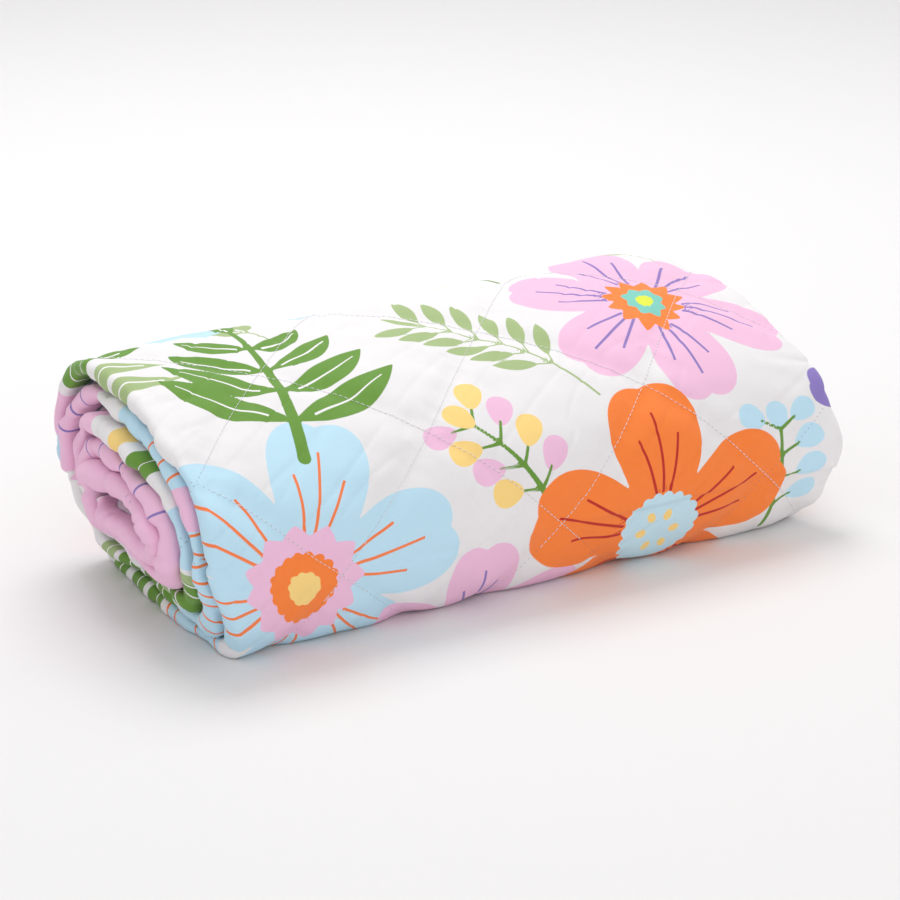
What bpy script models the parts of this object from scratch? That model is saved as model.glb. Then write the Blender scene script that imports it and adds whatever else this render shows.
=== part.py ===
"""Quilted camp blanket, folded in thirds along its length and rolled up.

The blanket is two printed cloths with batting between them, held together by
diagonal rows of quilting.  Folded, it is a strip three quilts thick; the strip
is wound into a flattened roll that lies along X on the ground plane, with its
tail on the far side (+Y) and its core standing a little proud at the -X end.
All lengths are in metres.
"""
import bpy
import numpy as np

# The roll, seen from its end
ROLL_RADIUS = 0.0758        # half height of the outermost turn
SLIT_HALF = 0.0355          # half length of the flat slit at the core
TOP_SQUARENESS = 2.4        # 2 gives a plain oval, more gives fuller corners
UNDERSIDE_SQUARENESS = 5.0
CENTRE_RISE = 0.0680        # height of the winding centre above the ground
CORE_RADIUS = 0.0030        # free radius left inside the innermost turn
TURNS = 4.60                # turns from the tail to the inner end
TAIL_ANGLE = -12.0          # where the tail ends, degrees up from +Y
STEP_START = 312.0          # degrees round from the tail where the roll steps in
STATION_STEP = 24.0         # degrees between cross sections
BACK_LEAN = 0.20            # how much the far side stands higher than the near one
END_SWELL = 0.035           # how much taller the +X end is than the -X end

# The folded strip
STRIP_WIDTH = 0.452         # from fold to fold, along X
QUILT_THICKNESS = 0.0045    # one layer of quilt, loosely compressed
CLOTH_THICKNESS = 0.0006
LAYER_GAP = 0.0003          # clearance between neighbouring bodies
TURN_FILL = 0.97            # part of each turn's pitch that the strip fills
LEFT_RECESS = 0.012         # how far the inner flap stops short of the -X fold
RIGHT_RECESS = 0.004        # hollow inside the +X fold
HEM = 0.012                 # length over which an edge thins to its seam
TELESCOPE = 0.012           # how far the core stands out at the -X end
END_TUCK = 0.018            # how far the -X end is tucked in next to the ground
TAIL_SQUEEZE = 0.60         # share of the strip's depth left at the tail's edge
SQUEEZE_RUN = 0.030         # length over which the strip regains its full depth

# Sewing
ROW_SPACING = 0.158         # between quilting rows, measured along X
RISING_ROW = -0.165         # where one row of each family, carried on to the tail
FALLING_ROW = 0.197         # edge, would cross it
ROW_START = 0.024           # rows start this far in from the tail edge
ROW_END_ANGLE = 200.0       # and stop here, degrees round from +Y, above the ground
ROW_MARGIN = 0.01125        # least distance from a row to either fold
ROW_NUMBERS = range(-8, 9)  # enough to cover the strip; the rest miss it
SHORTEST_ROW = 0.4          # of the row spacing; shorter corner pieces are left out
CROSSING_LIFT = 3.0         # gaps between the cloth and the upper family of rows
THREAD_WIDTH = 0.0011
THREAD_HEIGHT = 0.0004
HEM_STITCH = 0.0085         # topstitching, distance in from the tail edge
LABEL_WIDTH = 0.034
LABEL_DROP = 0.022
LABEL_TOP_GAP = 0.0008      # between the label and the cloth edge above it
LABEL_THICKNESS = 0.0005
LABEL_PLACE = 0.110         # label's distance from the middle of the strip

HALF = QUILT_THICKNESS / 2 - LAYER_GAP / 2
SEAM = (CLOTH_THICKNESS + LAYER_GAP / 2) / HALF
STATIONS = np.arange(0.0, TURNS * 360.0 + 0.5 * STATION_STEP, STATION_STEP)
END_ANGLE = float(STATIONS[-1])


def smooth(t):
    """Ease from 0 to 1 as t goes from 0 to 1."""
    t = np.clip(t, 0.0, 1.0)
    return t * t * (3.0 - 2.0 * t)


def at_station(j, x, n):
    """World point on cross section j; n is 0 outside and 1 inside the strip."""
    theta = STATIONS[j]
    turn = np.floor(theta / 360.0 + 1e-9)
    local = theta - 360.0 * turn
    nu = np.radians(TAIL_ANGLE + local)
    c, s = np.cos(nu), np.sin(nu)
    p = np.where(s > 0.0, TOP_SQUARENESS, UNDERSIDE_SQUARENESS)
    full = ROLL_RADIUS / (np.abs(c) ** p + np.abs(s) ** p) ** (1.0 / p)
    flat = CENTRE_RISE / np.maximum(-s, 1e-3)
    full = np.minimum(full, flat)
    whole_turns = np.ceil(TURNS)
    pitch = (full - CORE_RADIUS) / whole_turns
    step = smooth((local - STEP_START) / (360.0 - STEP_START))
    r = full - pitch * (step + turn + n)
    y = (SLIT_HALF + r) * c
    z = (CENTRE_RISE + r * s)
    across = np.clip(x / STRIP_WIDTH + 0.5, 0.0, 1.0)
    z = z * (1.0 + BACK_LEAN * y / (2.0 * ROLL_RADIUS)) * (1.0 + END_SWELL * across)
    low = smooth(1.0 - z / CENTRE_RISE)
    x = x - TELESCOPE * theta / END_ANGLE + END_TUCK * low * (1.0 - across) ** 4
    return np.stack([x, y, z], axis=-1)


def place(theta, x, n):
    """World points for winding angles in degrees, flat between cross sections."""
    theta, x, n = np.broadcast_arrays(*np.atleast_1d(theta, x, n))
    index = np.interp(theta, STATIONS, np.arange(len(STATIONS)))
    low = np.clip(np.floor(index).astype(int), 0, len(STATIONS) - 2)
    part = (index - low)[..., None]
    return (1.0 - part) * at_station(low, x, n) + part * at_station(low + 1, x, n)


# Winding length from the tail to every cross section, along the outer face
SPINE = place(STATIONS, 0.0, 0.0)
LENGTHS = np.concatenate([[0.0], np.cumsum(np.linalg.norm(np.diff(SPINE, axis=0), axis=1))])
FULL_LENGTH = float(LENGTHS[-1])

# Every body has its sections at these lengths: all the stations, and extra ones
# where the two end hems thin down
HEM_MARKS = np.array([0.0, 0.5, 1.0, 1.5]) * HEM
HEM_MARKS = np.concatenate([HEM_MARKS, FULL_LENGTH - HEM_MARKS])
NEW_MARKS = [m for m in HEM_MARKS if np.abs(LENGTHS - m).min() > 0.0005]
SECTIONS = np.sort(np.concatenate([LENGTHS, NEW_MARKS]))


def angle_at(length):
    """Winding angle at a distance from the tail."""
    return np.interp(length, LENGTHS, STATIONS)


def edge_fullness(distance):
    """Share of full puff at a distance in from a sewn edge."""
    return SEAM + (1.0 - SEAM) * np.clip(distance / HEM, 0.0, 1.0)


def strip_point(length, x, depth):
    """World points at a distance from the tail and a depth below the outside."""
    n = TURN_FILL * depth / (3.0 * QUILT_THICKNESS)
    tail_squeeze = TAIL_SQUEEZE + (1.0 - TAIL_SQUEEZE) * np.clip(length / SQUEEZE_RUN, 0.0, 1.0)
    n = TURN_FILL - (TURN_FILL - n) * tail_squeeze
    return place(angle_at(length), x, n)


def fold_path(trim):
    """The quilt's centre line across the strip, from one free edge to the other.

    Gives x, depth, the normal towards the printed face, and the distance to the
    nearer free edge.  trim shortens both ends.
    """
    q = QUILT_THICKNESS
    left, right = -STRIP_WIDTH / 2 + q, STRIP_WIDTH / 2 - 1.5 * q
    inner_end = right - RIGHT_RECESS - trim
    outer_end = -STRIP_WIDTH / 2 + LEFT_RECESS + trim
    run = np.array([0.0, HEM])
    turn = np.linspace(0.0, np.pi, 4)
    x = np.concatenate([inner_end - run, left - 0.5 * q * np.sin(turn),
                        right + q * np.sin(turn), outer_end + run[::-1]])
    depth = np.concatenate([np.full(2, 1.5 * q), q + 0.5 * q * np.cos(turn),
                            1.5 * q - q * np.cos(turn), np.full(2, 2.5 * q)])
    nx = np.concatenate([np.zeros(2), -np.sin(turn), np.sin(turn), np.zeros(2)])
    nd = np.concatenate([np.ones(2), np.cos(turn), -np.cos(turn), np.ones(2)])
    far = np.full(len(x), 1.0)
    far[:2] = run + trim
    far[-2:] = run[::-1] + trim
    return x, depth, nx, nd, far


def swept_body(name, rings, colour, roughness):
    """One closed body through rings of points, with the two end rings capped.

    Each ring runs along one side and back along the other, so a cap is a strip
    of faces between the two sides.  The side faces are split into triangles by
    the same diagonal on both sides, so that layers lie parallel where they twist.
    """
    count, size, _ = rings.shape
    index = np.arange(count * size).reshape(count, size)
    a, b = index[:-1], index[1:]
    c, d = np.roll(b, -1, axis=1), np.roll(a, -1, axis=1)
    half = size // 2
    out, back = slice(0, half), slice(half, size)
    sides = [(a, b, c, out), (a, c, d, out), (a, b, d, back), (b, c, d, back)]
    sides = [np.stack([p[:, s], q[:, s], r[:, s]], axis=-1).reshape(-1, 3)
             for p, q, r, s in sides]
    k = np.arange(half - 1)
    cap = np.stack([k, k + 1, size - 2 - k, size - 1 - k], axis=-1)
    faces = [f for group in (*sides, cap, cap[:, ::-1] + (count - 1) * size)
             for f in group.tolist()]
    mesh = bpy.data.meshes.new(name)
    mesh.from_pydata(rings.reshape(-1, 3).tolist(), [], faces)
    mesh.validate()
    volume = sum(
        mesh.vertices[t.vertices[0]].co.dot(
            mesh.vertices[t.vertices[1]].co.cross(mesh.vertices[t.vertices[2]].co))
        for t in triangles_of(mesh))
    if volume < 0.0:
        mesh.flip_normals()
    material = bpy.data.materials.new(name)
    material.use_nodes = True
    shader = material.node_tree.nodes["Principled BSDF"]
    shader.inputs["Base Color"].default_value = (*colour, 1.0)
    shader.inputs["Roughness"].default_value = roughness
    mesh.materials.append(material)
    obj = bpy.data.objects.new(name, mesh)
    bpy.context.scene.collection.objects.link(obj)
    return obj


def triangles_of(mesh):
    """The mesh's faces as triangles."""
    mesh.calc_loop_triangles()
    return mesh.loop_triangles


def quilt_layer(name, low, high, trim, colour, roughness):
    """One layer of the quilt, wound all the way from the tail to the core.

    low and high give its two sides as offsets from the quilt's centre line,
    each a share of the half thickness and a constant.
    """
    x, depth, nx, nd, far = fold_path(trim)
    keep = (SECTIONS > trim - 0.0006) & (SECTIONS < FULL_LENGTH - trim + 0.0006)
    lengths = SECTIONS[keep]
    end_distance = np.minimum(lengths, FULL_LENGTH - lengths)
    fullness = edge_fullness(far)[None, :] * edge_fullness(end_distance)[:, None]
    fullness = np.maximum(fullness, SEAM)
    sides = []
    for share, constant in (low, high):
        offset = share * HALF * fullness + constant
        sides.append(strip_point(lengths[:, None], x + nx * offset, depth + nd * offset))
    rings = np.concatenate([sides[0], sides[1][:, ::-1]], axis=1)
    return swept_body(name, rings, colour, roughness)


def thread_row(name, lengths, centre, half_width, height, colour):
    """A row of thread on the outside, with a section at every given length."""
    offset = HALF * edge_fullness(lengths)
    depth = 0.5 * QUILT_THICKNESS - offset - height
    top = depth - THREAD_HEIGHT
    rings = np.stack([
        strip_point(lengths, centre - half_width, depth),
        strip_point(lengths, centre + half_width, depth),
        strip_point(lengths, centre + half_width, top),
        strip_point(lengths, centre - half_width, top)], axis=1)
    return swept_body(name, rings, colour, 0.7)


for old in list(bpy.data.objects):
    bpy.data.objects.remove(old, do_unlink=True)

# The two cloths and the batting between them
cloth, gap = CLOTH_THICKNESS, LAYER_GAP
quilt_layer("face_cloth", (1.0, -cloth), (1.0, 0.0), 0.0, (0.86, 0.84, 0.85), 0.85)
quilt_layer("batting", (-1.0, cloth + gap), (1.0, -cloth - gap), 0.5 * HEM,
            (0.90, 0.90, 0.88), 0.95)
quilt_layer("back_cloth", (-1.0, 0.0), (-1.0, cloth), 0.0, (0.80, 0.66, 0.74), 0.85)

# Quilting rows that show on the outermost turn, in two crossing families, from
# just inside the tail hem to just above the ground at the near side
first = ROW_START
last = float(LENGTHS[np.searchsorted(STATIONS, ROW_END_ANGLE - TAIL_ANGLE)])
margin = STRIP_WIDTH / 2 - ROW_MARGIN
for family, sign, start, height in (("rising", 1.0, RISING_ROW, gap),
                                    ("falling", -1.0, FALLING_ROW, CROSSING_LIFT * gap)):
    number = 0
    for k in ROW_NUMBERS:
        offset = start + k * ROW_SPACING
        # the row is x = offset + sign * length; keep the part on the middle panel
        a, b = sorted([(-margin - offset) * sign, (margin - offset) * sign])
        a, b = max(a, first), min(b, last)
        if b - a < SHORTEST_ROW * ROW_SPACING:
            continue
        number += 1
        between = LENGTHS[(LENGTHS > a + 0.001) & (LENGTHS < b - 0.001)]
        lengths = np.concatenate([[a], between, [b]])
        thread_row(f"quilting_{family}_{number}", lengths, offset + sign * lengths,
                   THREAD_WIDTH / 2**0.5, height, (0.93, 0.92, 0.92))

# Topstitching along the tail hem
across = np.linspace(-margin, margin, 7)
low = HEM_STITCH - THREAD_WIDTH / 2
sides = []
for length, lift in ((low, gap), (low + THREAD_WIDTH, gap),
                     (low + THREAD_WIDTH, gap + THREAD_HEIGHT), (low, gap + THREAD_HEIGHT)):
    offset = HALF * edge_fullness(length) + lift
    sides.append(strip_point(np.full(7, length), across, 0.5 * QUILT_THICKNESS - offset))
swept_body("tail_topstitching", np.stack(sides, axis=1), (0.93, 0.92, 0.92), 0.7)

# Blank care label, sewn into the tail seam and lying on the turn below it
full_turn = float(np.interp(360.0, STATIONS, LENGTHS))
lengths = np.array([full_turn - LABEL_DROP, full_turn - 0.5 * LABEL_DROP, full_turn - LABEL_TOP_GAP])
lift = TURN_FILL / (3.0 * QUILT_THICKNESS) * (gap + np.array([0.0, LABEL_THICKNESS]))
x = LABEL_PLACE + np.array([-0.5, 0.5]) * LABEL_WIDTH
rings = np.stack([place(angle_at(lengths), x[i], -lift[j])
                  for i, j in ((0, 0), (1, 0), (1, 1), (0, 1))], axis=1)
swept_body("care_label", rings, (0.93, 0.93, 0.92), 0.6)

# Stand the roll on the ground with the middle of its box over the origin
bodies = [obj for obj in bpy.data.objects if obj.type == "MESH"]
points = np.concatenate([[v.co[:] for v in obj.data.vertices] for obj in bodies])
low, high = points.min(axis=0), points.max(axis=0)
shift = np.array([-(low[0] + high[0]) / 2, -(low[1] + high[1]) / 2, -low[2]])
for obj in bodies:
    for vertex in obj.data.vertices:
        vertex.co.x += shift[0]
        vertex.co.y += shift[1]
        vertex.co.z += shift[2]
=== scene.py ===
import bpy
import numpy as np
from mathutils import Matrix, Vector


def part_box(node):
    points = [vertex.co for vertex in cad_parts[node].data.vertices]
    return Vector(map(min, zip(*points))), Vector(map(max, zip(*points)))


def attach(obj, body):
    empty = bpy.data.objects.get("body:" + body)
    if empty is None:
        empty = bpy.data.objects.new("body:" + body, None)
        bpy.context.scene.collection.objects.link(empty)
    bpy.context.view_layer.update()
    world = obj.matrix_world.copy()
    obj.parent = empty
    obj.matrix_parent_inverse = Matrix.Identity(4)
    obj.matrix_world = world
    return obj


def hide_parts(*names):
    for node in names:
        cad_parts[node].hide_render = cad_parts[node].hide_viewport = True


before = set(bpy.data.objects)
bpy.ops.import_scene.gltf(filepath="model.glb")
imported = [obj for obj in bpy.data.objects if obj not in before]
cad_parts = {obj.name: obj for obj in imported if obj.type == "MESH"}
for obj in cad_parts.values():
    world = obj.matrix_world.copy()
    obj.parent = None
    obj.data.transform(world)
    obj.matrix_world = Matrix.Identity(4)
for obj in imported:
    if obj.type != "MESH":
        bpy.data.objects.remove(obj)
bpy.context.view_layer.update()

# ---------------------------------------------------------------------------
# The studio: a pale paper floor that curves up all round the blanket, an even
# white surround, one large soft light overhead and a fainter one in front.
# ---------------------------------------------------------------------------


class Wire:
    """A value inside a material; Python's operators add Math nodes to it."""

    def __init__(self, finish, socket):
        self.finish, self.socket = finish, socket

    def math(self, operation, *values):
        inputs = dict(enumerate(values))
        return self.finish.node("ShaderNodeMath", inputs, operation=operation)

    def __add__(self, other):
        return self.math("ADD", self, other)

    def __sub__(self, other):
        return self.math("SUBTRACT", self, other)

    def __rsub__(self, other):
        return self.math("SUBTRACT", other, self)

    def __mul__(self, other):
        return self.math("MULTIPLY", self, other)

    def __truediv__(self, other):
        return self.math("DIVIDE", self, other)

    def __abs__(self):
        return self.math("ABSOLUTE", self)

    def __mod__(self, other):
        return self.math("FLOORED_MODULO", self, other)

    __radd__, __rmul__ = __add__, __mul__

    def clamp(self):
        """The value held between 0 and 1."""
        return self.finish.node("ShaderNodeClamp", {0: self})


class Finish:
    """A material and its nodes, with a Principled surface."""

    def __init__(self, name, roughness, sheen=0.0):
        self.material = bpy.data.materials.new(name)
        self.material.use_nodes = True
        self.tree = self.material.node_tree
        self.surface = self.tree.nodes["Principled BSDF"]
        self.surface.inputs["Roughness"].default_value = roughness
        self.surface.inputs["Specular IOR Level"].default_value = 0.25
        self.surface.inputs["Sheen Weight"].default_value = sheen
        self.surface.inputs["Sheen Roughness"].default_value = 0.6

    def node(self, kind, inputs=None, output=0, **settings):
        """Adds a node: its settings first, then the values or links of its sockets."""
        node = self.tree.nodes.new(kind)
        for key, value in settings.items():
            setattr(node, key, value)
        for key, value in (inputs or {}).items():
            self.feed(node.inputs[key], value)
        return Wire(self, node.outputs[output])

    def feed(self, socket, value):
        """Links a Wire to a socket, or sets a plain value on it."""
        if isinstance(value, Wire):
            self.tree.links.new(value.socket, socket)
        else:
            socket.default_value = value

    def set(self, name, value):
        self.feed(self.surface.inputs[name], value)

    def blend(self, factor, first, second):
        """first where factor is 0 and second where it is 1, as colours."""
        return self.node("ShaderNodeMix", {0: factor, 6: first, 7: second}, 2,
                         data_type="RGBA")

    def attribute(self, name):
        return self.node("ShaderNodeAttribute", output="Fac", attribute_name=name)

    def cloth_map(self):
        """Place on the opened cloth, in metres."""
        return self.node("ShaderNodeUVMap", uv_map="cloth")

    def noise(self, vector, scale, detail=2.0):
        return self.node("ShaderNodeTexNoise",
                         {"Vector": vector, "Scale": scale, "Detail": detail})

    def bump(self, height, depth, strength=1.0):
        """Tilts the surface by a height that goes from 0 to 1 over a depth in metres."""
        self.set("Normal", self.node(
            "ShaderNodeBump", {"Height": height, "Distance": depth, "Strength": strength}))


def ink(code):
    """A linear colour from a six-digit colour code."""
    part = np.array([int(code[i:i + 2], 16) for i in (0, 2, 4)]) / 255.0
    linear = np.where(part <= 0.04045, part / 12.92, ((part + 0.055) / 1.055) ** 2.4)
    return (*linear.tolist(), 1.0)


def grid_faces(rows, columns, flip=False):
    """Quads over a grid of points stored row by row."""
    corner = np.arange((rows - 1) * columns).reshape(rows - 1, columns)[:, :-1].ravel()
    quads = np.stack([corner, corner + columns, corner + columns + 1, corner + 1], axis=1)
    return quads[:, ::-1] if flip else quads


def mesh_piece(name, points, faces, material):
    """An object from arrays of points and quads, with smooth shading."""
    mesh = bpy.data.meshes.new(name)
    mesh.vertices.add(len(points))
    mesh.vertices.foreach_set("co", np.ascontiguousarray(points, dtype=np.float32).ravel())
    mesh.loops.add(faces.size)
    mesh.loops.foreach_set("vertex_index", faces.astype(np.int32).ravel())
    mesh.polygons.add(len(faces))
    starts = np.arange(0, faces.size, faces.shape[1], dtype=np.int32)
    mesh.polygons.foreach_set("loop_start", starts)
    mesh.update(calc_edges=True)
    mesh.shade_smooth()
    mesh.materials.append(material)
    piece = bpy.data.objects.new(name, mesh)
    bpy.context.scene.collection.objects.link(piece)
    return piece


floor_finish = Finish("studio_paper", 0.75)
floor_finish.set("Base Color", ink("EBEAEA"))
floor_half, floor_lines = 5.0, 80
flat_reach, floor_steepness = 2.3, 0.35     # flat this far out, then ever steeper
floor_line = np.linspace(-floor_half, floor_half, floor_lines)
floor_across, floor_run = np.meshgrid(floor_line, floor_line)
floor_out = np.maximum(np.hypot(floor_across, floor_run) - flat_reach, 0.0)
floor_rise = floor_out**2 * floor_steepness
floor_points = np.stack([floor_across, floor_run, floor_rise], axis=-1)
floor = mesh_piece("studio_floor", floor_points.reshape(-1, 3),
                   grid_faces(floor_lines, floor_lines, True), floor_finish.material)

world = bpy.data.worlds.new("studio_surround")
world.use_nodes = True
world.node_tree.nodes["Background"].inputs["Color"].default_value = (1.0, 1.0, 1.0, 1.0)
world.node_tree.nodes["Background"].inputs["Strength"].default_value = 0.78
bpy.context.scene.world = world
bpy.context.scene.view_settings.view_transform = "Standard"


def softbox(name, place, size, watts, aim=(0.0, 0.0, 0.07)):
    """A square area light that points at the blanket."""
    light = bpy.data.lights.new(name, "AREA")
    light.size, light.energy = size, watts
    lamp = bpy.data.objects.new(name, light)
    lamp.location = place
    lamp.rotation_euler = (Vector(aim) - Vector(place)).to_track_quat("-Z", "Y").to_euler()
    bpy.context.scene.collection.objects.link(lamp)


softbox("overhead_softbox", (0.30, 0.9, 1.9), 1.1, 21.0)
softbox("front_fill", (-0.5, -2.4, 1.5), 2.0, 10.0)

# The camera stands low, towards the open end of the roll
camera_distance = 1.75
camera_data = bpy.data.cameras.new("camera")
camera_data.lens, camera_data.sensor_width = 108.0, 36.0
camera_data.shift_x, camera_data.shift_y = 0.0089, -0.0044
camera_data.clip_start = 0.05
camera = bpy.data.objects.new("camera", camera_data)
turn, tilt = np.radians(-31.0), np.radians(21.0)
camera_aim = Vector((0.0, 0.0, 0.066))
camera_back = Vector((np.sin(turn) * np.cos(tilt), -np.cos(turn) * np.cos(tilt), np.sin(tilt)))
camera.location = camera_aim + camera_distance * camera_back
camera.rotation_euler = (-camera_back).to_track_quat("-Z", "Y").to_euler()
bpy.context.scene.collection.objects.link(camera)
bpy.context.scene.camera = camera

# ---------------------------------------------------------------------------
# The printed face cloth, outermost turn: brushed polyester, printed with large
# flowers, quilted through to the filling and lining in diagonal rows.  The
# blanket is folded in thirds and wound up, so the cloth runs over the middle
# third and round both folds.
# ---------------------------------------------------------------------------
roll_low, roll_high = (np.array(corner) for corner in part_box("face_cloth"))
roll_radius = 0.0758        # half height of the outermost turn
slit_half = 0.0355          # half length of the flat slit at the core
centre_rise = 0.0680
core_radius = 0.0030
ground_gap = 0.0006         # the cloth's lowest point is this far off the ground
turns = 4.92
tail_angle = -12.0          # degrees up from +Y
step_start = 312.0          # where in each turn the cloth starts to step in by a pitch
back_lean = 0.20            # makes the far side stand higher than the near one
end_swell = 0.035           # share of its height that the roll gains at its right end
end_droop = 0.100           # share of its height that the roll loses at its right end
end_belly = 0.012           # how far its near side swells out at that end
telescope = 0.012           # how far the turns slip along the roll, first to last
end_tuck = 0.018            # how far the underside draws in at the left end
strip_width = 0.452
quilt = 0.0045              # one layer of quilt
strip_depth = 3.0 * quilt
row_spacing = 0.158         # between quilting rows, along the roll
falling_row, rising_row = 0.197, -0.165
hem = 0.012
tail_share = 0.60           # thickness at the hemmed tail, as a share of the full one
least_height = 0.0009       # the cloth is never closer than this to the quilt's middle
last_angle = 360.0 * turns


def smooth(v):
    """Eases from 0 to 1 as v goes from 0 to 1."""
    v = np.clip(v, 0.0, 1.0)
    return v * v * (3.0 - 2.0 * v)


def hashed(i, j, seed):
    """A repeatable number from 0 to 1 for each cell of a grid."""
    h = np.sin(i * 127.1 + j * 311.7 + seed * 74.7) * 43758.5453
    return h - np.floor(h)


def ripple(a, b, seed):
    """Smooth noise from -1 to 1: random values at whole numbers, eased between."""
    i, j = np.floor(a), np.floor(b)
    fa, fb = smooth(a - i), smooth(b - j)
    low = hashed(i, j, seed) * (1 - fa) + hashed(i + 1, j, seed) * fa
    high = hashed(i, j + 1, seed) * (1 - fa) + hashed(i + 1, j + 1, seed) * fa
    return 2.0 * (low * (1 - fb) + high * fb) - 1.0


def wound(angle, x, depth):
    """World points of the roll.

    The section is an oval: along each direction nu from the centre its radius is
    R / (|cos nu|^p + |sin nu|^p)^(1/p), cut flat at the ground.  A point moves in
    by one pitch a turn, and by its share of a pitch for its depth in the strip.
    """
    turn_number = np.floor(angle / 360.0)
    local = angle - 360.0 * turn_number
    nu = np.radians(tail_angle + local)
    c, s = np.cos(nu), np.sin(nu)
    p = np.where(s > 0.0, 2.4, 5.0)
    full = roll_radius / (np.abs(c) ** p + np.abs(s) ** p) ** (1.0 / p)
    full = np.minimum(full, centre_rise / np.maximum(-s, 1e-3))
    pitch = (full - core_radius) / np.ceil(turns)
    step = smooth((local - step_start) / (360.0 - step_start))
    inward = step + turn_number + 0.97 * depth / strip_depth
    r = full - pitch * inward
    lump = 0.0022 * ripple(x / 0.085, np.degrees(nu) / 38.0, 3) * (1.0 - inward / 6.0)
    r = r + lump * np.where(s > -0.2, 1.0, 0.0)
    y = (slit_half + r) * c
    z = centre_rise + r * s
    across = np.clip(x / strip_width + 0.5, 0.0, 1.0)
    z = z * (1.0 + back_lean * y / (2.0 * roll_radius)) * (1.0 + end_swell * across)
    low = smooth(1.0 - z / centre_rise)
    left = (1.0 - across) ** 4
    right = smooth((across - 0.86) / 0.16)
    z = z * (1.0 - end_droop * right)
    sway = ripple(angle / 26.0, turn_number, 5) * 0.0035 + ripple(angle / 9.0, 0 * angle, 6) * 0.001
    belly = end_belly * np.exp(-(((np.degrees(nu) - 170.0) / 48.0) ** 2)) - 0.010 * low
    x = (x + telescope * (0.5 - angle / last_angle) + end_tuck * low * left
         + sway * (left + 0.6 * across**4) + belly * right)
    middle = (roll_low + roll_high) / 2.0
    return np.stack([x + middle[0], y + middle[1], np.maximum(z, ground_gap)], axis=-1)


# Length along the strip, from the tail, at every winding angle
spine_angles = np.linspace(0.0, last_angle, 3000)
spine = wound(spine_angles, 0.0 * spine_angles, 0.0)
spine_lengths = np.concatenate([[0.0], np.cumsum(np.linalg.norm(np.diff(spine, axis=0), axis=1))])
full_length = float(spine_lengths[-1])
left_bend = -strip_width / 2 + quilt
right_bend = strip_width / 2 - 1.5 * quilt
left_wrap, right_wrap = np.pi * 0.5 * quilt, np.pi * quilt
left_fold, right_fold = left_bend - 0.5 * left_wrap, right_bend + 0.5 * right_wrap
inner_gap, outer_gap = 0.004, 0.012     # from a blanket edge to the fold it lies against
flap_end = right_bend - inner_gap
inner_edge = left_bend - left_wrap - (flap_end - left_bend)
outer_edge = right_bend + right_wrap + (right_bend + strip_width / 2 - outer_gap)


def length_at(turn_number, nu):
    """Length from the tail to a direction nu, in degrees, in a turn counted from 0."""
    return float(np.interp(turn_number * 360.0 + nu - tail_angle, spine_angles, spine_lengths))


def folded(u):
    """Where the folded strip has a point u across the opened cloth.

    Gives x, depth, and the normal towards the printed side.  The middle third is
    straight, each fold is half a circle, and the outer thirds run back inside.
    """
    a = np.clip((left_bend - u) / (0.5 * quilt), 0.0, np.pi)
    b = np.clip((u - right_bend) / quilt, 0.0, np.pi)
    under_left = np.maximum(left_bend - left_wrap - u, 0.0)
    under_right = np.maximum(u - right_bend - right_wrap, 0.0)
    x = np.clip(u, left_bend, right_bend) - 0.5 * quilt * np.sin(a) + quilt * np.sin(b)
    x = x + under_left - under_right
    depth = 0.5 * quilt + 0.5 * quilt * (1 - np.cos(a)) + quilt * (1 - np.cos(b))
    nx = -np.sin(a) + np.sin(b)
    nd = np.where(b > 0.0, -np.cos(b), -np.cos(a))
    return x, depth, nx, nd


def row_distances(u, t):
    """Distance to the nearest quilting row of each family."""
    pitch = row_spacing / 2**0.5
    distances = []
    for across in ((u + t - falling_row) / 2**0.5, (u - t - rising_row) / 2**0.5):
        distances.append(np.abs((across / pitch + 0.5) % 1.0 - 0.5) * pitch)
    return distances


def edge_distance(u, t):
    """Distance in from the nearest sewn edge of the blanket."""
    sides = np.minimum(u - inner_edge, outer_edge - u)
    ends = np.minimum(t, full_length - t)
    return np.maximum(np.minimum(sides, ends), 0.0)


def cloth_height(u, t):
    """How far the face cloth stands off the quilt's middle.

    It is held down at the rows and the edges, swells between them, and puckers
    next to the stitches and round the folds.
    """
    falling, rising = row_distances(u, t)
    nearest = np.minimum(falling, rising)
    swell = (1 - np.exp(-((falling / 0.010) ** 2))) * (1 - np.exp(-((rising / 0.010) ** 2)))
    along = np.where(falling < rising, u - t, u + t)
    pucker = ripple(along / 0.0085, nearest / 0.03, 8) * np.exp(-nearest / 0.014)
    fold = np.minimum(np.abs(u - left_fold), np.abs(u - right_fold))
    gather = ripple(t / 0.013, u / 0.06, 9) * np.exp(-fold / 0.024)
    tuck = np.exp(-((ripple(t / 0.024 + 3.0 * u, u / 0.05, 12) / 0.10) ** 2))
    tuck = tuck * np.exp(-fold / 0.030)
    creases = ripple((u + 0.6 * t) / 0.045, (t - 0.5 * u) / 0.016, 10)
    drag = np.exp(-((ripple((u + 1.4 * t) / 0.030, (u - 0.7 * t) / 0.11, 13) / 0.09) ** 2))
    core = smooth((t - 0.74 * full_length) / 0.20) * np.exp(-fold / 0.030)
    height = 0.0010 + 0.0027 * swell + 0.0007 * pucker + 0.0014 * gather - 0.0017 * tuck
    height = height + (0.0006 * creases - 0.0007 * drag) * swell + 0.0026 * core
    height = np.maximum(height, least_height)
    edge = edge_distance(u, t)
    seam = smooth(edge / hem)
    ruched = 0.0004 * ripple((u + t) / 0.006, edge / 0.02, 11) * np.exp(-edge / 0.012)
    return height * (0.25 + 0.75 * seam) + ruched


def place_in_roll(u, t, height):
    """World points at a height over the quilt's middle, thinned towards the tail."""
    x, depth, nx, nd = folded(u)
    squeeze = tail_share + (1.0 - tail_share) * np.clip(t / (2.5 * hem), 0.0, 1.0)
    depth = strip_depth - (strip_depth - depth - nd * height) * squeeze
    return wound(np.interp(t, spine_lengths, spine_angles), x + nx * height, depth)


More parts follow.
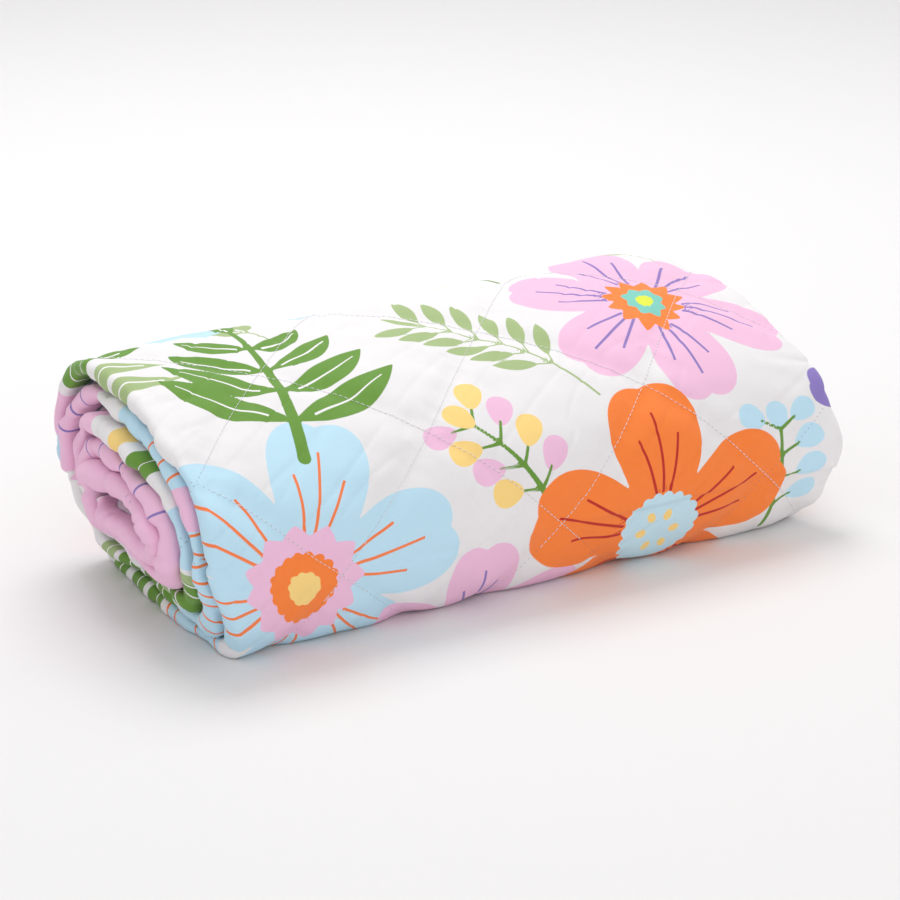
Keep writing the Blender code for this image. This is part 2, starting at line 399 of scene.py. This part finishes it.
def strip_points(u, t, side):
    """World points of a cloth; side is 1 for the face, -1 for the back."""
    share = 1.0 if side > 0 else 0.75
    return place_in_roll(u, t, cloth_height(u, t) * share * side)


class Print:
    """The print on a cloth, as one field for each ink.

    A shape's field is its distance outside the shape, in metres, and less than
    nothing inside it.  A fine line has two fields: the sideways distance as a
    share of its half width, and the plain distance.
    """

    def __init__(self, u, t):
        self.u, self.t, self.fields = u, t, {}

    def lay(self, name, distance, near=slice(None)):
        field = self.fields.setdefault(name, np.full(self.u.shape, 1.0))
        field[near] = np.minimum(field[near], distance)

    def axes(self, start, direction):
        """Distances along and across an axis; direction is in degrees, 90 up the roll."""
        du, dt = self.u - start[0], self.t - start[1]
        c, s = np.cos(np.radians(direction)), -np.sin(np.radians(direction))
        return du * c + dt * s, du * s - dt * c

    def egg(self, name, centre, direction, half_length, half_width, flare=0.25):
        """An oval that is wider at its far end."""
        along, across = self.axes(centre, direction)
        width = half_width * np.clip(1.0 + flare * along / half_length, 0.35, 2.0)
        ratio = np.hypot(along / half_length, across / width)
        self.lay(name, (ratio - 1.0) * min(half_length, half_width))

    def leaf(self, name, base, tip, half_width, bend=0.0, vein=True):
        """A pointed leaf whose middle line bows sideways, with a pale midrib."""
        du, dt = tip[0] - base[0], tip[1] - base[1]
        size = float(np.hypot(du, dt))
        along, across = self.axes(base, float(np.degrees(np.arctan2(-dt, du))))
        share = along / size
        bow = across - bend * 4.0 * share * (1.0 - share)
        rounded = half_width * 4.0 * share * (1.0 - share)
        self.lay(name, 0.85 * (np.abs(bow) - rounded))
        if vein:
            side = (dt / size * bend * 4.0, -du / size * bend * 4.0)
            self.line("vein", [(base[0] + du * k + side[0] * k * (1.0 - k),
                                base[1] + dt * k + side[1] * k * (1.0 - k))
                               for k in (0.18, 0.50, 0.82)], 0.0011, 0.0005)

    def curve(self, points):
        """A smooth path through a few points (Catmull-Rom)."""
        p = np.array(points, dtype=float)
        p = np.vstack([2 * p[0] - p[1], p, 2 * p[-1] - p[-2]])
        steps = np.linspace(0.0, 1.0, 7)[:-1, None]
        parts = []
        for k in range(1, len(p) - 2):
            a, b, c, d = p[k - 1], p[k], p[k + 1], p[k + 2]
            parts.append(0.5 * (2 * b + (c - a) * steps + (2 * a - 5 * b + 4 * c - d) * steps**2
                                + (3 * b - a - 3 * c + d) * steps**3))
        return np.vstack([*parts, p[-2:-1]])

    def near(self, path):
        """Which points of the cloth are close enough to a path to matter."""
        low, high = path.min(axis=0) - 0.012, path.max(axis=0) + 0.012
        return np.flatnonzero((self.u > low[0]) & (self.u < high[0])
                              & (self.t > low[1]) & (self.t < high[1]))

    def trace(self, path):
        """Near points, their distance to a path, its side and the share of the way along."""
        near = self.near(path)
        u, t = self.u[near], self.t[near]
        best = np.full(u.shape, 1.0)
        side, share = np.zeros(u.shape), np.zeros(u.shape)
        for k, (a, b) in enumerate(zip(path[:-1], path[1:])):
            d = b - a
            size2 = max(float(d @ d), 1e-12)
            along = np.clip(((u - a[0]) * d[0] + (t - a[1]) * d[1]) / size2, 0.0, 1.0)
            distance = np.hypot(u - a[0] - along * d[0], t - a[1] - along * d[1])
            closer = distance < best
            best = np.where(closer, distance, best)
            across = ((u - a[0]) * d[1] - (t - a[1]) * d[0]) / size2**0.5
            side = np.where(closer, across, side)
            share = np.where(closer, (k + along) / (len(path) - 1), share)
        return near, best, side, share

    def stem(self, name, points, start, end):
        """A stroke whose half width goes from start to end."""
        near, distance, _, share = self.trace(self.curve(points))
        self.lay(name, distance - (start + (end - start) * share), near)

    def line(self, name, points, start, end):
        """A stroke too fine for the mesh, so it keeps its sideways distance."""
        near, distance, side, share = self.trace(self.curve(points))
        width = start + (end - start) * share
        for kind, far in (("_reach", 1.0), ("_across", 9.0)):
            self.fields.setdefault(name + kind, np.full(self.u.shape, far))
        closer = distance < self.fields[name + "_reach"][near]
        self.fields[name + "_reach"][near[closer]] = distance[closer]
        self.fields[name + "_across"][near[closer]] = (side / width)[closer]

    def ruffle(self, name, centre, radius, lobes, wave, phase=0.0, sharp=False):
        """A disc with a wavy edge, or a pointed one."""
        along, across = self.axes(centre, phase)
        angle = np.arctan2(across, along)
        beat = np.abs((angle * lobes / (2 * np.pi)) % 1.0 - 0.5) * 2.0
        beat = beat if sharp else np.sin(np.pi * beat) ** 0.7
        uneven = 1.0 + 0.06 * np.sin(2 * angle + phase) + 0.05 * np.sin(3 * angle + 1.0)
        self.lay(name, np.hypot(along, across) - radius * uneven * (1.0 + wave * (beat - 0.5)))


def away(place, direction, distance):
    """The place a distance away from another; direction in degrees, 90 up the roll."""
    angle = np.radians(direction)
    return (place[0] + distance * np.cos(angle), place[1] - distance * np.sin(angle))


def stalk(c, direction, length, bend, count):
    """Evenly spaced places along a bowed stalk from c, and its direction at each."""
    places, headings = [c], [direction]
    for k in range(count):
        headings.append(direction + bend * (k + 0.5) / count)
        places.append(away(places[-1], headings[-1], length / count))
    return places, headings


def flower(p, c, ink, line_ink, petals, size, turned):
    """A round flower: even petals, each two ovals side by side, with three fine lines."""
    for k in range(petals):
        direction = turned + 360.0 * k / petals
        for lean in (-8.0, 8.0):
            p.egg(ink, away(c, direction + lean, 0.56 * size), direction + 0.5 * lean,
                  0.44 * size, 1.20 * size / petals, 0.30)
        for lean, far in ((-13.0, 0.64), (0.0, 0.78), (13.0, 0.64)):
            p.line(line_ink, [away(c, direction + 0.8 * lean, 0.30 * size),
                              away(c, direction + lean, far * size)], 0.0013, 0.0011)
    p.egg(ink, c, 0, 0.40 * size, 0.40 * size, 0.0)


def blue_flower(p, c):
    """A pale blue flower with orange lines and a pink, orange and yellow middle."""
    flower(p, c, "blue", "orange_line", 6, 0.110, 10.0)
    p.ruffle("pink", c, 0.0380, 12, 0.20, 0.0, True)
    p.ruffle("orange", c, 0.0230, 9, 0.13)
    p.ruffle("yellow", c, 0.0110, 5, 0.16)


def orange_flower(p, c):
    """An orange flower with red lines and a scalloped pale middle with a ring of dots."""
    flower(p, c, "orange", "red_line", 5, 0.100, 90.0)
    p.ruffle("pale", c, 0.0280, 10, 0.12)
    for k in range(6):
        p.egg("yellow", away(c, 60.0 * k, 0.0125), 60.0 * k, 0.0040, 0.0030, 0.0)


def pink_flower(p, c):
    """A pink flower with violet lines and a pointed middle in orange, teal and lime."""
    flower(p, c, "pink", "violet_line", 6, 0.090, 30.0)
    p.ruffle("orange", c, 0.0260, 12, 0.34, 0.0, True)
    p.ruffle("teal", c, 0.0140, 8, 0.28, 5.0, True)
    p.ruffle("lime", c, 0.0060, 5, 0.18)


def leafy_stem(p, c, direction=75.0):
    """A tall green stem with four pairs of leaves and one at its tip; c is its foot."""
    places, headings = stalk(c, direction, 0.140, 12.0, 5)
    p.stem("green", places, 0.0042, 0.0018)
    for k in range(1, 5):
        for side in (-1, 1):
            tip = away(places[k], headings[k] + 56.0 * side, 0.105 - 0.014 * k)
            p.leaf("green", places[k], tip, 0.0130 - 0.0012 * k, 0.006 * side)
    p.leaf("green", places[-1], away(places[-1], headings[-1], 0.045), 0.0080)


def sage_sprig(p, c, direction=115.0, length=0.120):
    """A fine grey-green sprig with small leaves in pairs; c is its foot."""
    places, headings = stalk(c, direction, length, 25.0, 7)
    p.line("sage_line", places, 0.0011, 0.0007)
    for k in range(2, 8):
        for side in (-1, 1):
            outward = headings[k] + 45.0 * side
            base = away(places[k], outward, 0.08 * length)
            p.line("sage_line", [places[k], base], 0.0008, 0.0007)
            p.leaf("sage", base, away(base, outward, 0.26 * length), 0.0050, 0.0, False)
    p.leaf("sage", places[-1], away(places[-1], headings[-1], 0.26 * length), 0.0050, 0.0, False)


def berry_sprig(p, c, first, second, direction=115.0, size=1.0):
    """A green sprig hung with oval berries in one ink or two; c is its foot."""
    places, headings = stalk(c, direction, 0.080 * size, 15.0, 4)
    p.stem("green", places, 0.0020, 0.0011)
    for k in range(1, 5):
        for side in (-1, 1):
            outward = headings[k] + 58.0 * side
            end = away(places[k], outward, 0.016 * size)
            p.stem("green", [places[k], end], 0.0012, 0.0009)
            p.egg(second if (k + (side > 0)) % 2 else first, away(end, outward, 0.008 * size),
                  outward, 0.0115 * size, 0.0085 * size)
    p.egg(first, away(places[-1], headings[-1], 0.010 * size), headings[-1],
          0.0110 * size, 0.0080 * size)


def fold_patch(p, name, turn_number, start, end, wide=0.050):
    """A wavy-edged stretch of ink over the left fold, between two directions in a turn."""
    low, high = length_at(turn_number, start), length_at(turn_number, end)
    wave = 0.007 * ripple(p.t / 0.022, p.u / 0.018, 21)
    p.lay(name, np.maximum(np.abs(p.t - 0.5 * (low + high)) - 0.5 * (high - low),
                           np.abs(p.u - left_fold) - wide) + wave)


def fold_strokes(p, name, turn_number, start, end, count):
    """Fine lines that run across the left fold, evenly spread over part of a turn."""
    for k in range(count):
        t = length_at(turn_number, start + (end - start) * (k + 0.5) / count)
        lean = 0.004 * np.sin(2.4 * k)
        p.line(name, [(left_fold + 0.014, t + lean), (left_fold - 0.002, t),
                      (left_fold - 0.016, t - lean)], 0.0012, 0.0010)


def fold_leaf(p, turn_number, direction, half_width=0.011, name="green"):
    """A leaf that lies across the left fold."""
    t = length_at(turn_number, direction)
    p.leaf(name, (left_fold + 0.040, t + 0.012), (left_fold - 0.045, t - 0.006), half_width,
           0.004)


def draw_folds(p):
    """The parts of the print that come round the open spiral's fold."""
    for turn_number, start, end in ((0, 2, 30), (1, -12, 62), (2, -12, 66), (3, -12, 347),
                                    (4, -12, 347), (0, 318, 344)):
        fold_patch(p, "pink", turn_number, start, end)
    for turn_number, start, end in ((0, 226, 258), (1, 84, 240), (2, 138, 176)):
        fold_patch(p, "blue", turn_number, start, end)
    fold_patch(p, "pink", 1, 133, 152, 0.012)
    fold_strokes(p, "orange_line", 1, 104, 226, 13)
    fold_strokes(p, "orange_line", 0, 226, 262, 6)
    fold_strokes(p, "violet_line", 3, 30, 150, 5)
    fold_strokes(p, "violet_line", 1, 10, 50, 3)
    for turn_number, direction in ((0, 38), (0, 52), (0, 266), (0, 282), (0, 298), (1, 252),
                                   (1, 268), (1, 286), (2, 200), (2, 222), (2, 256), (2, 104)):
        fold_leaf(p, turn_number, direction)
    for turn_number, direction in ((0, 70), (0, 82), (2, 188), (2, 240), (1, 300)):
        fold_leaf(p, turn_number, direction, 0.008, "sage")
    fold_patch(p, "yellow", 2, 84, 92, 0.020)


def draw_print(u, t):
    """All of the print's motifs, where they lie on the opened cloth."""
    p = Print(u, t)
    # near side and top
    leafy_stem(p, (-0.15, 0.26))
    blue_flower(p, (-0.17, 0.34))
    orange_flower(p, (0.09, 0.36))
    pink_flower(p, (0.14, 0.19))
    sage_sprig(p, (0.06, 0.26))
    berry_sprig(p, (0.01, 0.33), "yellow", "pink")
    berry_sprig(p, (0.18, 0.38), "blue", "blue", 80.0, 0.9)
    flower(p, (0.26, 0.29), "purple", "violet_line", 5, 0.05, 20.0)
    pink_flower(p, (-0.04, 0.43))
    draw_folds(p)
    # along the top rim and the far side
    berry_sprig(p, (0.07, 0.12), "yellow", "yellow")
    sage_sprig(p, (-0.11, 0.14), 115.0, 0.06)
    sage_sprig(p, (0.19, 0.13), 115.0, 0.06)
    blue_flower(p, (-0.12, 0.01))
    berry_sprig(p, (-0.02, 0.05), "pink", "pink", 80.0, 0.9)
    pink_flower(p, (0.15, 0.01))
    # under the near edge
    leafy_stem(p, (0.16, 0.60), 105.0)
    sage_sprig(p, (-0.06, 0.55))
    berry_sprig(p, (0.06, 0.52), "blue", "pink")
    # the next turn, below the tail on the far side, and the folds at the other end
    orange_flower(p, (-0.11, 0.62))
    leafy_stem(p, (0.01, 0.73))
    blue_flower(p, (0.165, 0.66))
    for k in range(7):
        t = 0.720 + 0.195 * k
        (blue_flower, orange_flower, pink_flower)[k % 3](p, (0.235, t))
        leafy_stem(p, (0.200, t + 0.160), 105.0)
        (pink_flower, blue_flower, orange_flower)[k % 3](p, (0.610, t + 0.060))
    return p


def cloth_piece(name, u, t, side, material, fields=True):
    """One cloth of the quilt over a grid of places on the opened blanket."""
    grid_u, grid_t = np.meshgrid(u, t)
    points = strip_points(grid_u, grid_t, side).reshape(-1, 3)
    piece = mesh_piece(name, points, grid_faces(len(t), len(u), side > 0), material)
    mesh = piece.data
    corners = np.empty(len(mesh.loops), dtype=np.int32)
    mesh.loops.foreach_get("vertex_index", corners)
    flat_uv = np.stack([grid_u.ravel(), grid_t.ravel()], axis=1)
    low, high = flat_uv.min(axis=0), flat_uv.max(axis=0)
    for map_name, uv in (("cloth", flat_uv), ("OFBake", (flat_uv - low) / (high - low))):
        layer = mesh.uv_layers.new(name=map_name)
        layer.data.foreach_set("uv", uv[corners].astype(np.float32).ravel())
    if fields:
        for field_name, values in draw_print(grid_u.ravel(), grid_t.ravel()).fields.items():
            attribute = mesh.attributes.new(field_name, "FLOAT", "POINT")
            attribute.data.foreach_set("value", values.astype(np.float32))
    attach(piece, "root")
    return piece


print_order = (("sage", "A6BC82"), ("sage_line", "A6BC82"), ("blue", "C1E5F7"),
               ("orange_line", "FA8044"), ("pink", "F3C1DF"), ("violet_line", "8F78BE"),
               ("purple", "8D79C4"), ("green", "659530"), ("vein", "F3F1F1"),
               ("orange", "FF832F"), ("red_line", "C01404"), ("pale", "C6E6F3"),
               ("teal", "7CCDBE"), ("yellow", "FFD984"), ("lime", "E2EC3C"))


needle_step = 0.0036        # from one needle hole to the next


def needle_hole_shade(cloth, place):
    """Painted shade in the small holes where the needle went through, along both families of rows.
    """
    parts = cloth.tree.nodes.new("ShaderNodeSeparateXYZ")
    cloth.tree.links.new(place.socket, parts.inputs[0])
    u, t = Wire(cloth, parts.outputs[0]), Wire(cloth, parts.outputs[1])
    hole_shade_sum = None
    for sign, first_row in ((1.0, falling_row), (-1.0, rising_row)):
        off_row = ((u + sign * t - first_row) / row_spacing + 0.5) % 1.0 - 0.5
        along = ((u - sign * t) / (needle_step * 2.0**0.5) + 0.5) % 1.0 - 0.5
        across = abs(off_row) * (row_spacing / 2.0**0.5 / 0.0004)
        lengthways = abs(along) * (needle_step / 0.0006)
        hole_shade_row = (1.6 - across * across - lengthways * lengthways).clamp()
        hole_shade_sum = hole_shade_row if hole_shade_sum is None else hole_shade_sum + hole_shade_row
    return hole_shade_sum.clamp()


def printed_finish():
    """Brushed polyester: fine weave and nap, the print's inks in order, painted shade in the needle
    holes.
    """
    cloth = Finish("printed_cloth", 0.88, 0.12)
    place = cloth.cloth_map()
    colour = cloth.blend(cloth.noise(place, 38.0, 3.0), ink("E9E6E8"), ink("F1EFF0"))
    edge = 0.0003 * (cloth.noise(place, 900.0, 2.0) - 0.5)
    for name, code in print_order:
        if name.endswith("line") or name == "vein":
            across, reach = cloth.attribute(name + "_across"), cloth.attribute(name + "_reach")
            mask = ((1.0 - abs(across)) * 2.5).clamp() * ((0.0020 - reach) * 3000.0).clamp()
        else:
            mask = (0.5 - (cloth.attribute(name) + edge) * 2600.0).clamp()
        colour = cloth.blend(mask, colour, ink(code))
    nap = cloth.noise(place, 260.0, 4.0)
    colour = cloth.blend(nap * 0.03, colour, ink("FFFFFF"))
    # painted shade: the needle holes are darkened towards a dark blue-grey in the colour
    colour = cloth.blend(needle_hole_shade(cloth, place) * 0.38, colour, ink("6E7488"))
    cloth.set("Base Color", colour)
    cloth.set("Roughness", 0.82 + 0.12 * nap)
    weave = cloth.noise(place, 1500.0, 2.0)
    cloth.bump(weave * 0.6 + nap * 0.4, 0.0004, 0.5)
    return cloth.material


printed = printed_finish()


def spaced(start, end, step):
    """Evenly spaced numbers from start to end, about step apart."""
    return np.linspace(start, end, max(2, int(round((end - start) / step)) + 1))


def joined(*runs):
    """Runs of numbers one after another, without the repeats where they meet."""
    return np.concatenate([runs[0]] + [run[1:] for run in runs[1:]])


first_turn = length_at(1, tail_angle) + 0.020
under_left = spaced(inner_edge, left_bend - left_wrap - 0.036, 0.016)
under_right = spaced(right_bend + right_wrap + 0.036, outer_edge, 0.016)
outer_u = joined(under_left, spaced(under_left[-1], left_bend - left_wrap, 0.0036),
                 spaced(left_bend - left_wrap, left_bend, 0.0008),
                 spaced(left_bend, right_bend, 0.0018),
                 spaced(right_bend, right_bend + right_wrap, 0.0014),
                 spaced(right_bend + right_wrap, under_right[0], 0.0045), under_right)
outer_t = joined(spaced(0.0, 0.40, 0.0019), spaced(0.40, 0.53, 0.0050),
                 spaced(0.53, first_turn, 0.0022))
outer_turn = cloth_piece("face_cloth_outer_turn", outer_u, outer_t, 1, printed)
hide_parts("face_cloth")

# ---------------------------------------------------------------------------
# The same face cloth further in: the turns that the outermost one hides but
# for their folds at both ends.
# ---------------------------------------------------------------------------
inner_u = joined(under_left, spaced(under_left[-1], left_bend - left_wrap, 0.0030),
                 spaced(left_bend - left_wrap, left_bend, 0.0008),
                 spaced(left_bend, left_bend + 0.040, 0.0024),
                 spaced(left_bend + 0.040, right_bend - 0.030, 0.014),
                 spaced(right_bend - 0.030, right_bend, 0.005),
                 spaced(right_bend, right_bend + right_wrap, 0.0014),
                 spaced(right_bend + right_wrap, under_right[0], 0.006),
                 spaced(under_right[0], outer_edge - 0.030, 0.016),
                 spaced(outer_edge - 0.030, outer_edge, 0.003))
inner_t = spaced(first_turn, full_length, 0.0027)
inner_turns = cloth_piece("face_cloth_inner_turns", inner_u, inner_t, 1, printed)
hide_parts("face_cloth")

# ---------------------------------------------------------------------------
# Lining: plain pale blue woven polyester, sewn to the face cloth round the
# edges and by the quilting rows.  It faces the inside of every fold.
# ---------------------------------------------------------------------------
lining_finish = Finish("lining", 0.85, 0.2)
lining_grain = lining_finish.noise(lining_finish.cloth_map(), 700.0, 3.0)
lining_finish.set("Base Color", lining_finish.blend(lining_grain, ink("B4D3DE"), ink("C2DEE7")))
lining_finish.bump(lining_grain, 0.0003, 0.4)
lining_u = joined(spaced(inner_edge, left_bend - left_wrap - 0.03, 0.016),
                  spaced(left_bend - left_wrap - 0.03, left_bend - left_wrap, 0.006),
                  spaced(left_bend - left_wrap, left_bend, 0.0012),
                  spaced(left_bend, left_bend + 0.03, 0.006),
                  spaced(left_bend + 0.03, right_bend, 0.014),
                  spaced(right_bend, right_bend + right_wrap, 0.0020),
                  spaced(right_bend + right_wrap, outer_edge - 0.03, 0.014),
                  spaced(outer_edge - 0.03, outer_edge, 0.004))
lining = cloth_piece("lining", lining_u, spaced(0.0, full_length, 0.0040), -1,
                     lining_finish.material, False)
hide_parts("back_cloth")

# ---------------------------------------------------------------------------
# Batting: a thin loose sheet of white polyester wadding between the cloths,
# folded and wound with them, that stops short of the sewn edges.
# ---------------------------------------------------------------------------
wadding = Finish("wadding", 0.95, 0.2)
wadding.set("Base Color", ink("F2F1EE"))
batting_half = 0.0003       # half its thickness, pressed between the cloths
batting_inset = 0.008       # from the sewn edges
batting_u = joined(spaced(inner_edge + batting_inset, left_bend - left_wrap, 0.018),
                   spaced(left_bend - left_wrap, left_bend, 0.0014),
                   spaced(left_bend, right_bend, 0.010),
                   spaced(right_bend, right_bend + right_wrap, 0.0020),
                   spaced(right_bend + right_wrap, outer_edge - batting_inset, 0.018))
batting_grid = np.meshgrid(batting_u,
                           spaced(batting_inset, full_length - batting_inset, 0.0050))


def batting_side(side):
    """One side of the wadding: a surface half a thickness from the quilt's middle."""
    return place_in_roll(*batting_grid, batting_half * side).reshape(-1, 3)


def double_sheet(name, side, rows, columns, material):
    """A thin closed sheet: an outer and an inner surface, and a rim that joins them."""
    count = rows * columns
    faces = grid_faces(rows, columns, True)
    rim = np.arange(count).reshape(rows, columns)
    rim = np.concatenate([rim[0, :-1], rim[:-1, -1], rim[-1, :0:-1], rim[:0:-1, 0]])
    after = np.roll(rim, -1)
    rim_faces = np.stack([rim, rim + count, after + count, after], axis=1)
    return mesh_piece(name, np.concatenate(side),
                      np.concatenate([faces, faces[:, ::-1] + count, rim_faces]), material)


batting = double_sheet("batting_sheet", (batting_side(1), batting_side(-1)),
                       *batting_grid[0].shape, wadding.material)
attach(batting, "root")
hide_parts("batting")

# ---------------------------------------------------------------------------
# Quilting rows: straight lockstitch in pale grey thread through all three
# layers, in two crossing families.  Each stitch dips into the cloth at its ends.
# ---------------------------------------------------------------------------
thread = Finish("thread", 0.7, 0.1)
thread.set("Base Color", ink("F0EEF1"))
stitch_length = 0.0026
stitch_radius = 0.00020


def stitches(name, node, start, end):
    """A straight row of stitches between two places on the opened cloth.

    Each stitch has five rings: its middle stands highest, and its two end rings
    are thinner and sunk into the cloth.
    """
    start, end = np.array(start), np.array(end)
    run = float(np.linalg.norm(end - start))
    heading = (end - start) / run
    number = int(run / needle_step)
    s = np.array([-1.0, -0.75, 0.0, 0.75, 1.0])[None, :, None]
    ring = np.radians(np.arange(6) * 60.0)[None, None, :]
    middle = ((np.arange(number) + 0.5) * needle_step)[:, None, None]
    girth = stitch_radius * np.where(np.abs(s) > 0.9, 0.45, 1.0)
    along = middle + 0.5 * stitch_length * s
    aside = girth * np.cos(ring)
    u = start[0] + heading[0] * along - heading[1] * aside
    t = start[1] + heading[1] * along + heading[0] * aside
    lift = 0.00015 + 0.00025 * np.cos(0.5 * np.pi * s) - 0.0003 * (np.abs(s) > 0.9)
    lift = lift + girth * np.sin(ring)
    points = place_in_roll(u, t, cloth_height(u, t) + lift).reshape(-1, 3)
    # five rings of six points, joined round, and the two end rings filled
    first, k = np.arange(number)[:, None, None] * 30, np.arange(6)[None, None, :]
    low = first + np.arange(4)[None, :, None] * 6
    sides = np.stack([low + k, low + (k + 1) % 6, low + 6 + (k + 1) % 6, low + 6 + k], axis=-1)
    start_cap = first + np.array([[0, 3, 2, 1], [0, 5, 4, 3]])
    end_cap = first + 24 + np.array([[0, 1, 2, 3], [0, 3, 4, 5]])
    faces = np.concatenate([sides.reshape(-1, 4), start_cap.reshape(-1, 4), end_cap.reshape(-1, 4)])
    piece = mesh_piece(name, points, faces, thread.material)
    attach(piece, "root")
    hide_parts(node)


row_start = 0.024                       # rows start this far in from the tail
row_end = length_at(0, 204.0)           # and stop here, low on the near side
row_margin = strip_width / 2 - 2.5 * quilt
shortest_row = 0.4 * row_spacing
for family, sign, first_row in (("rising", 1.0, rising_row), ("falling", -1.0, falling_row)):
    number = 0
    for k in range(-8, 9):
        offset = first_row + k * row_spacing
        low, high = sorted([(-row_margin - offset) * sign, (row_margin - offset) * sign])
        low, high = max(low, row_start), min(high, row_end)
        if high - low < shortest_row:
            continue
        number += 1
        stitches(f"{family}_row_{number}", f"quilting_{family}_{number}",
                 (offset + sign * low, low), (offset + sign * high, high))

# ---------------------------------------------------------------------------
# Topstitching: one row of the same thread that closes the hem at the tail.
# ---------------------------------------------------------------------------
hem_row = 0.0085            # from the tail edge
stitches("tail_hem_stitches", "tail_topstitching", (-row_margin, hem_row), (row_margin, hem_row))

# ---------------------------------------------------------------------------
# Care label: a blank tape folded double, sewn into the tail seam and hanging
# over the turn below it.
# ---------------------------------------------------------------------------
tape = Finish("label_tape", 0.6, 0.1)
tape.set("Base Color", ink("F4F3F1"))
label_width, label_drop, label_place = 0.034, 0.022, 0.110
label_gap = 0.0008          # from the seam to its top edge
tape_rows, tape_columns, tape_thickness = 12, 18, 0.0004
tape_grid = np.meshgrid(np.linspace(-0.5, 0.5, tape_columns), np.linspace(0.0, 1.0, tape_rows))


def tape_side(lift):
    """One face of the tape, which curls away from the cloth towards its free end."""
    across, down = tape_grid
    u = label_place + across * label_width
    t = length_at(1, tail_angle) - label_gap - (1.0 - down) * label_drop
    curl = 0.0010 * (1.0 - down) ** 2 * (1.0 + 0.5 * np.sin(5.0 * across + 1.0))
    depth = 0.5 * quilt - cloth_height(u, t) - 0.0007 - curl - lift
    return wound(np.interp(t, spine_lengths, spine_angles), u, depth).reshape(-1, 3)


label = double_sheet("care_label_tape", (tape_side(tape_thickness), tape_side(0.0)),
                     tape_rows, tape_columns, tape.material)
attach(label, "root")
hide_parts("care_label")
